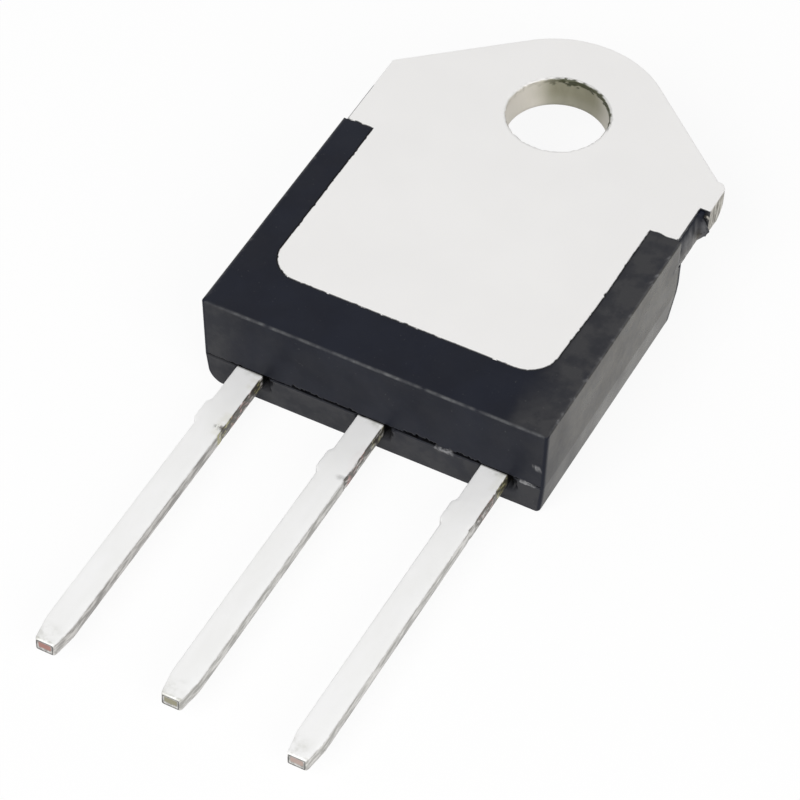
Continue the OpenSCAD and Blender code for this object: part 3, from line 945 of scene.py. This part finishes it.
def slug_loop(z):
    """Outline of the slug at a height, from the window's left side round to it again."""
    window = window_run(LIP_W if z < SLUG_Z + LIP_T else 0.0, LEFT_ARM, RIGHT_ARM)
    loop = [(-NECK_HALF, LEFT_ARM)] + arm_end((-NECK_HALF, LEFT_ARM), window[0])
    loop += window + arm_end(window[-1], (NECK_HALF, RIGHT_ARM))
    loop += line((NECK_HALF, RIGHT_ARM), (NECK_HALF, STUB_Y), NECK_RIGHT_STEPS)
    stub = stub_points(((TOP_Z - z) / (TOP_Z - SLUG_Z)) ** 2)
    loop += stub[:-1] + line(stub[-1], (TANGENT_X, TANGENT_Y), SHOULDER_STEPS)
    turn = 90 - math.degrees(SHOULDER_ANGLE)
    loop += arc((0, HOLE_Y), TAB_R, turn, 180 - turn, TAB_STEPS)
    loop += line((-TANGENT_X, TANGENT_Y), (-NECK_HALF, SHOULDER_Y), SHOULDER_STEPS)
    return loop + line((-NECK_HALF, SHOULDER_Y), (-NECK_HALF, LEFT_ARM), NECK_LEFT_STEPS)


def inset_loop(loop, distance):
    """Moves each point of an anticlockwise loop inwards, across the line between its neighbours."""
    count = len(loop)
    found = []
    for i, (x, y) in enumerate(loop):
        back, ahead = Vector(loop[i - 1]), Vector(loop[(i + 1) % count])
        along = (ahead - back).normalized()
        found.append((x - along.y * distance, y + along.x * distance))
    return found


# Rings of the slug: heights above its underside, and depths under the mounting side on its
# outside and in the hole
SLUG_RISES = (0.15, 0.3, 0.42, 0.5, LIP_T - 0.01, LIP_T + 0.001)
SLUG_DROPS = (0.7, 0.5, 0.3, 0.15)
BORE_DROPS = (0.13, 0.16, 0.19, 0.22, 0.26, 0.3, 0.4, 0.55, 0.7, 0.9, 1.1, 1.3, 1.44)


def slug_rows():
    """Rows (z, inset) up the slug's outside."""
    r = SLUG_EDGE_R
    rows = [(SLUG_Z, 2 * r), (SLUG_Z, r), (SLUG_Z + 0.3 * r, 0.3 * r), (SLUG_Z + r, 0.0)]
    rows += [(SLUG_Z + above, 0.0) for above in SLUG_RISES]
    rows += [(TOP_Z - drop, 0.0) for drop in SLUG_DROPS]
    rows += [(TOP_Z - r, 0.0), (TOP_Z - 0.6 * r, 0.1 * r), (TOP_Z - 0.25 * r, 0.4 * r)]
    return rows + [(TOP_Z, inset) for inset in (r, 1.25 * r, 1.5 * r, 2 * r)]


def add_slug_outside(shell):
    """Returns the lowest and the highest ring."""
    rings = []
    for z, inset in slug_rows():
        points, marks = [], []
        for x, y in inset_loop(slug_loop(z), inset):
            if y > LEFT_ARM + 0.2 and TOP_Z - z > SLUG_EDGE_R:
                push = 1 + 0.0012 * ripple(x, y, z, 0.4, 31)
                x, y = x * push, HOLE_Y + (y - HOLE_Y) * push
            points.append((x, y, z))
            cut = 1.0 if x > NECK_HALF + 0.04 else 0.5
            film = smooth((FLASH_W - inset) / 0.02) if y < STUB_Y + 0.02 else 0.0
            marks.append({"shear": cut * smooth((TOP_Z - 0.5 * SLUG_EDGE_R - z) / 0.04), "flash": film})
        rings.append(shell.ring(points, marks))
    shell.join(rings)
    return rings[0], rings[-1]


def bore_rows():
    """Rows (z, distance outside the bore) from the mounting side down to the underside."""
    rows = [(TOP_Z, HOLE_ROLL_R + 0.25), (TOP_Z, HOLE_ROLL_R + 0.06)]
    for drop, turn in map(edge_turn, (90, 68, 45, 22, 0)):
        rows.append((TOP_Z - HOLE_ROLL_R * drop, HOLE_ROLL_R * turn))
    rows += [(TOP_Z - drop, 0.0) for drop in BORE_DROPS]
    return rows + [(SLUG_Z, 0.03), (SLUG_Z, 0.1)]


def bore_marks(c, s, depth, out, tear):
    """Layer values in the direction (c, s) from the hole's axis; back is 1 on the wall that the
    camera sees."""
    back = rise(c, -0.8, -0.3) * rise(s, -0.05, 0.25)
    # The torn rim reaches onto the rolled top edge, where it is also painted shade over the highlight
    reach = 0.1 + 0.1 * back + 0.06 * between(c, -0.7, -0.1, 0.2) + 0.22 * tear
    ragged = between(depth, 0.02 + 0.04 * tear, reach, 0.02)
    torn = lerp(0.12, 1.0, back) * ragged if out < HOLE_ROLL_R + 0.03 else 0.0
    # Painted shade on the rolled top edge at the back, dulling its highlight
    edge = 0.3 * back * rise(out, HOLE_ROLL_R + 0.04, HOLE_ROLL_R)
    # Painted light: the wall lighter on its left and right, and paler lower down
    pale = rise(c, -0.45, -0.95) + 0.75 * rise(c, 0.3, 0.8) + 0.25 * rise(depth, 0.7, 1.3)
    return {"bore": rise(depth, 0.02, 0.07), "pale": min(1.0, pale), "rim": max(torn, edge)}


def add_bore(shell):
    """Returns the ring on the mounting side and the one on the underside."""
    rings = []
    for z, out in bore_rows():
        points, marks = [], []
        depth = TOP_Z - z
        for i in range(BORE_STEPS):
            angle = 2 * math.pi * i / BORE_STEPS
            c, s = math.cos(angle), math.sin(angle)
            tear = ripple(c * HOLE_R, s * HOLE_R, 1.2 * z, 0.17, 33) + 0.4 * ripple(c, s, z, 0.2, 35)
            radius = HOLE_R + out + BORE_TEAR * tear * between(depth, 0.02, 0.2, 0.08)
            points.append((radius * c, HOLE_Y + radius * s, z))
            marks.append(bore_marks(c, s, depth, out, tear))
        rings.append(shell.ring(points, marks))
    shell.join(rings)
    return rings[0], rings[-1]


def build_slug(material):
    shell = Shell(("bore", "pale", "rim", "shear", "flash"))
    bottom, top = add_slug_outside(shell)
    hole_top, hole_bottom = add_bore(shell)
    shell.cap(top, hole_top)
    shell.cap(bottom, hole_bottom)
    return shell.piece("slug_plate", material, "heat_slug")


# ---- leads


# Waves of the leads' surfaces, and how the dark line along the upper right edge shows by angle
LEAD_WAVES = ((0.004, 1.1, 43), (0.003, 0.25, 45))
EDGE_LINES = {25: 1.2, 50: 0.5}
EDGE_LINE_FAR = 0.28
# Rings at a lead's tip: how far each is drawn in, and how far it lies from the end
TIP_RINGS = ((0.0, 0.09), (0.015, 0.04), (0.05, 0.0))


def half_width(y, side, length):
    """Distance of a lead's side from its centre line. side is 1 on the right."""
    taper = min(1.0, max(0.0, (TIP_LEN - length - y) / TIP_LEN))
    half = lerp(LEAD_W / 2, TIP_W / 2, taper)
    dam_far = -DAM_START - DAM_LEN
    if side < 0:
        stub = smooth((-DAM_START - y) / DAM_SLOPE) * smooth((y - dam_far) / DAM_SLOPE)
        return half + DAM_OUT * stub * (1 + 0.2 * ripple(0, y, 0, 0.3, 47))
    notch = dam_far + NOTCH_BACK
    return half - NOTCH_DEPTH * between(y, notch - 0.06, notch + 0.04, 0.08)


# Points of a lead's cross-section: side, face, and the angle on a rounded edge
SECTION = (
    [(-1, -1, a) for a in (180, 210, 240)]
    + [(u, -1, None) for u in (-0.5, 0, 0.5)]
    + [(1, -1, a) for a in (270, 300, 330)]
    + [(1, -0.35, "side"), (1, 0.3, "side")]
    + [(1, 1, a) for a in (0, 25, 50, 75)]
    + [(u, 1, None) for u in (0.7, 0.35, 0, -0.35, -0.7)]
    + [(-1, 1, a) for a in (90, 120, 150)]
    + [(-1, 0.3, "side"), (-1, -0.35, "side")]
)


def section_ring(row, r):
    """Points of a rounded rectangle across a lead. row holds y and the four walls."""
    y, x0, x1, z0, z1 = row
    middle, half = (x0 + x1) / 2, (x1 - x0) / 2
    level, tall = (z0 + z1) / 2, (z1 - z0) / 2
    points = []
    for u, w, angle in SECTION:
        if angle == "side":
            x, z = middle + u * half, level + w * (tall - r)
        elif angle is None:
            x, z = middle + u * (half - r), level + w * tall
        else:
            turn = math.radians(angle)
            x = middle + u * (half - r) + r * math.cos(turn)
            z = level + w * (tall - r) + r * math.sin(turn)
        points.append((x, y, z))
    return points


def lead_stations(centre, kind, length):
    """Rows (y, left x, right x, bottom z, top z) from inside the moulding out to the tip.
    kind is -1 for the left lead, 0 for the centre one and 1 for the right one."""
    half = LEAD_W / 2
    rows = []
    if kind == 0:
        pad_y = PAD_HIGH.y - FOOT_Y - PAD_LEN
        pad_z = PAD_HIGH.z - (LEAD_TOP - LEAD_Z)
        for y in (pad_y + PAD_LEN, pad_y + PAD_LEN / 2, pad_y + 0.001):
            rows.append((y, -PAD_HIGH.x, PAD_HIGH.x, pad_z, PAD_HIGH.z))
        for y in (pad_y, pad_y - PAD_STEP):
            rows.append((y, -half, half, pad_z, PAD_HIGH.z))
        for y in (BEND_START, LAND_START):
            rows.append((y, -half, half, LEAD_Z, LEAD_TOP))
    else:
        low, high = sorted((kind * (LEAD_LOW.x - LEAD_PITCH), kind * half))
        for y in (LAND_END, (LAND_END + LAND_START) / 2, LAND_START + 0.001):
            rows.append((y, low, high, LEAD_Z, LEAD_TOP))
        rows.append((LAND_START, -half, half, LEAD_Z, LEAD_TOP))
    y = LAND_START - 0.2
    while y > LEAD_ROW - length:
        rows.append((y, -half_width(y, -1, length), half_width(y, 1, length), LEAD_Z, LEAD_TOP))
        y -= LEAD_ROW
    half = TIP_W / 2
    for shrink, back in TIP_RINGS:
        rows.append((back - length, shrink - half, half - shrink, LEAD_Z + shrink, LEAD_TOP - shrink))
    return [(y, centre + a, centre + b, c, d) for y, a, b, c, d in rows]


def lead_marks(y, u, angle, length, stains):
    """Layer values of a point on a lead. stains holds (layer, far end, near end, strength on the
    side, strength on the upper face beside it)."""
    on_side = angle == "side" or angle in (0, 180, 330)
    found = {"olive": 0.0, "copper": 0.0, "grime": 0.0}
    for key, low, high, side_strength, face_strength in stains:
        if u > 0.3:
            strength = side_strength if on_side or angle == 25 else face_strength * smooth(u * 2 - 0.6)
            found[key] = max(found[key], strength * between(y, low, high, 0.15))
    edge_line = EDGE_LINES.get(angle, 0.0) * lerp(EDGE_LINE_FAR, 1, rise(y, -3.4, -3.1))
    found["grime"] = max(found["grime"], edge_line)
    frost_and_shade = between(y, -length, 0.5 - length, 0.6) * (0.3 + 0.7 * smooth(-u + 0.8))
    root_frost = 0.7 * smooth((y + 0.35) / 0.3) * smooth(u + 0.5)
    return found | {
        "shear": 1.0 if on_side else 0.0,
        # The last stretch of the tip's top is painted shade that dims the highlight on its rounded rows
        "frost_and_shade": 0.0 if on_side else max(0.5 * frost_and_shade, root_frost, smooth((0.14 - length - y) / 0.05)),
        # root is painted light, brightest at the moulding and fading out over 2.6 mm
        "root": smooth((y + 2.6) / 2.6),
        "deep": smooth((y - 0.03) / 0.02),
    }


# Rings across a lead's cut end, from its edge inwards: shares of the width and the height, how
# high the middle lies, how far in the ring lies, and its layers
CUT_RINGS = (
    (0.97, 0.95, 0.5, 0.0, {"deep": 0.85}),
    (0.87, 0.8, 0.53, 0.0, {"deep": 0.72}),
    (0.82, 0.74, 0.54, 0.004, {}),
    (0.74, 0.55, 0.64, 0.006, {"deep": 0.35}),
    (0.7, 0.5, 0.64, 0.01, {"cut": 1.0}),
    (0.5, 0.3, 0.64, 0.01, {"cut": 1.0}),
)


def build_lead(name, node, kind, length, material, stains):
    shell = Shell(("shear", "olive", "copper", "grime", "cut", "deep", "frost_and_shade", "root"))
    centre = kind * LEAD_PITCH + LEAD_SHIFT
    rings = []
    for row in lead_stations(centre, kind, length):
        y = row[0]
        r = LEAD_EDGE_R * (1 + 0.25 * ripple(centre, y, 0, 0.5, 41))
        points, marks = [], []
        for (x, _, z), (u, w, angle) in zip(section_ring(row, r), SECTION):
            if y < 0.2:
                swell = waves(x, y, z, LEAD_WAVES)
                if angle == "side":
                    x += u * swell
                elif w > 0:
                    crumple = 0.03 * smooth((y + 0.4) / 0.4) * ripple(x, y, z, 0.2, 49)
                    z = min(LEAD_TOP, z + swell + crumple)
                else:
                    z = max(LEAD_Z, z - swell)
            points.append((x, y, z))
            marks.append(lead_marks(y, u, angle, length, stains))
        rings.append(shell.ring(points, marks))
    outline = [(v.co.x / MM, v.co.z / MM) for v in rings[-1]]
    for wide, tall, raised, back, mark in CUT_RINGS:
        middle_z = lerp(LEAD_Z, LEAD_TOP, raised)
        points = [(lerp(centre, x, wide), back - length, lerp(middle_z, z, tall)) for x, z in outline]
        rings.append(shell.ring(points, [{"shear": 1.0, **mark}] * len(points)))
    shell.bm.faces.new(rings[0])
    shell.join(rings)
    shell.bm.faces.new(rings[-1])
    return shell.piece(name, material, node)


# ---- build

build_body(epoxy_material())
build_slug(slug_material())
# Stained stretches of the leads' right-hand sides: layer, far end, near end, and strength on
# the side and on the upper face beside it
LEFT_STAINS = (
    ("grime", -3.1, 0.0, 1.1, 0.0),
    ("grime", -3.2, -3.12, 1.6, 0.9),
    ("copper", -2.4, -0.9, 0.7, 0.0),
    ("olive", -0.75, -0.25, 1.0, 0.15),
    ("olive", -3.5, -2.4, 1.0, 0.15),
)
MIDDLE_STAINS = (
    ("grime", -3.1, 0.0, 1.0, 0.0),
    ("grime", -3.2, -3.14, 1.2, 0.4),
    ("copper", -2.9, -1.3, 1.0, 0.05),
    ("olive", -0.9, 0.0, 0.6, 0.0),
)
RIGHT_STAINS = (
    ("grime", -2.6, 0.0, 0.95, 0.0),
    ("olive", -0.9, 0.0, 0.9, 0.1),
    ("copper", -2.3, -1.2, 0.8, 0.0),
)
DULL_SIDE = (srgb(142, 139, 136), srgb(212, 210, 207))
BRIGHT_SIDE = (srgb(164, 163, 159), srgb(226, 225, 222))
left_tin = tin_material("tin_left", DULL_SIDE, srgb(156, 112, 104))
middle_tin = tin_material("tin_middle", BRIGHT_SIDE, srgb(138, 134, 112))
right_tin = tin_material("tin_right", BRIGHT_SIDE, srgb(172, 152, 144))
build_lead("lead_left", "main_lead_1", -1, LEAD_LEN, left_tin, LEFT_STAINS)
build_lead("lead_middle", "main_lead_2", 0, LEAD_LEN, middle_tin, MIDDLE_STAINS)
build_lead("lead_right", "gate_lead", 1, GATE_LEN, right_tin, RIGHT_STAINS)

# Finishes inside the moulding: two colours, metallic, roughness, grain in mm, and the nodes
INNER_FINISHES = {
    "solder_grey": (
        (srgb(150, 152, 156), srgb(176, 178, 182), 0.9, 0.45, 0.4),
        ("insulator_solder", "pad_solder", "chip_solder", "main_clip_solder", "gate_clip_solder"),
    ),
    "alumina_white": ((srgb(232, 230, 222), srgb(242, 240, 234), 0.0, 0.55, 0.5), ("insulator",)),
    "silicon_dark": ((srgb(70, 76, 92), srgb(88, 94, 108), 0.3, 0.22, 0.8), ("triac_chip",)),
    "copper_clip": (
        (srgb(190, 118, 84), srgb(208, 138, 100), 1.0, 0.35, 0.6),
        ("main_clip", "gate_clip"),
    ),
}
for finish_name, (values, node_names) in INNER_FINISHES.items():
    finish = plain_material(finish_name, *values)
    for node_name in node_names:
        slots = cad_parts[node_name].data.materials
        slots.clear()
        slots.append(finish)

# ---- stage

WHITE = (1.0, 1.0, 1.0, 1.0)
SKY_LIGHT = 0.34
SKY_SEEN = 1.0
FLOOR_BOUNCE = (0.78, 0.77, 0.75, 1.0)
FLOOR_GLOW = 1.0
SHADOW_SHARE = 0.1
FLOOR_HALF = 1.5
FLOOR_DROP = 1e-5
FLOOR_CORNERS = ((-1, -1), (1, -1), (1, 1), (-1, 1))
# Square lamps: name, place, size, power and colour
LAMPS = (
    ("key", (-0.06, -0.34, 0.32), 0.30, 1.42, (1.0, 1.0, 1.0)),
    ("fill", (0.30, -0.20, 0.24), 0.26, 0.7, (1.0, 0.99, 0.97)),
)
# The camera that was fitted to the photo's outline: its place, and its axes as a picture has them
LENS_MM = 184.4
SENSOR_MM = 36.0
CLIP_START = 0.01
CLIP_END = 10.0
CAMERA_PLACE = Vector((49.894, -97.582, 121.562)) * MM
CAMERA_RIGHT = Vector((0.88339, 0.46844, 0.01348))
CAMERA_UP = Vector((-0.35545, 0.65102, 0.67069))
CAMERA_BACK = Vector((0.3054, -0.59728, 0.74161))


def seen_directly(tree):
    """1 for rays from the camera, in reflections and through glass."""
    path = add(tree, "LightPath")
    glossy = maths(tree, "ADD", path.outputs["Is Camera Ray"], path.outputs["Is Glossy Ray"])
    return maths(tree, "ADD", glossy, path.outputs["Is Transmission Ray"], True)


def make_world():
    """Soft light from all sides, which shows as white."""
    world = bpy.data.worlds.new("studio")
    tree = cleared_tree(world)
    output = add(tree, "OutputWorld")
    light = coloured(tree, "Background", WHITE, SKY_LIGHT)
    white = coloured(tree, "Background", WHITE, SKY_SEEN)
    shown = mix_shaders(tree, seen_directly(tree), light, white)
    tree.links.new(shown, output.inputs["Surface"])
    bpy.context.scene.world = world


def make_floor():
    """A white ground that shows as the photograph's and keeps a soft shadow."""
    material = bpy.data.materials.new("floor_white")
    tree = cleared_tree(material)
    output = add(tree, "OutputMaterial")
    bounce = coloured(tree, "BsdfDiffuse", FLOOR_BOUNCE)
    shadow = coloured(tree, "BsdfDiffuse", WHITE)
    glow = coloured(tree, "Emission", WHITE, FLOOR_GLOW)
    shown = mix_shaders(tree, SHADOW_SHARE, glow, shadow)
    ground = mix_shaders(tree, seen_directly(tree), bounce, shown)
    tree.links.new(ground, output.inputs["Surface"])
    mesh = bpy.data.meshes.new("floor")
    corners = [(x * FLOOR_HALF, y * FLOOR_HALF, -FLOOR_DROP) for x, y in FLOOR_CORNERS]
    mesh.from_pydata(corners, [], [(0, 1, 2, 3)])
    mesh.materials.append(material)
    new_object("floor", mesh)


def add_lamp(name, place, size, power, colour):
    """A soft square lamp that faces the part."""
    data = bpy.data.lights.new(name, "AREA")
    data.shape = "SQUARE"
    data.size = size
    data.energy = power
    data.color = colour
    lamp = new_object(name, data)
    lamp.location = place
    lamp.rotation_mode = "QUATERNION"
    lamp.rotation_quaternion = (-Vector(place)).to_track_quat("-Z", "Y")


def make_camera():
    data = bpy.data.cameras.new("camera")
    data.lens = LENS_MM
    data.sensor_width = SENSOR_MM
    data.clip_start = CLIP_START
    data.clip_end = CLIP_END
    camera = new_object("camera", data)
    turn = Matrix((CAMERA_RIGHT, CAMERA_UP, CAMERA_BACK)).transposed()
    camera.matrix_world = Matrix.Translation(CAMERA_PLACE) @ turn.to_4x4()
    bpy.context.scene.camera = camera


make_world()
make_floor()
for lamp_values in LAMPS:
    add_lamp(*lamp_values)
make_camera()
bpy.context.scene.view_settings.view_transform = "Standard"
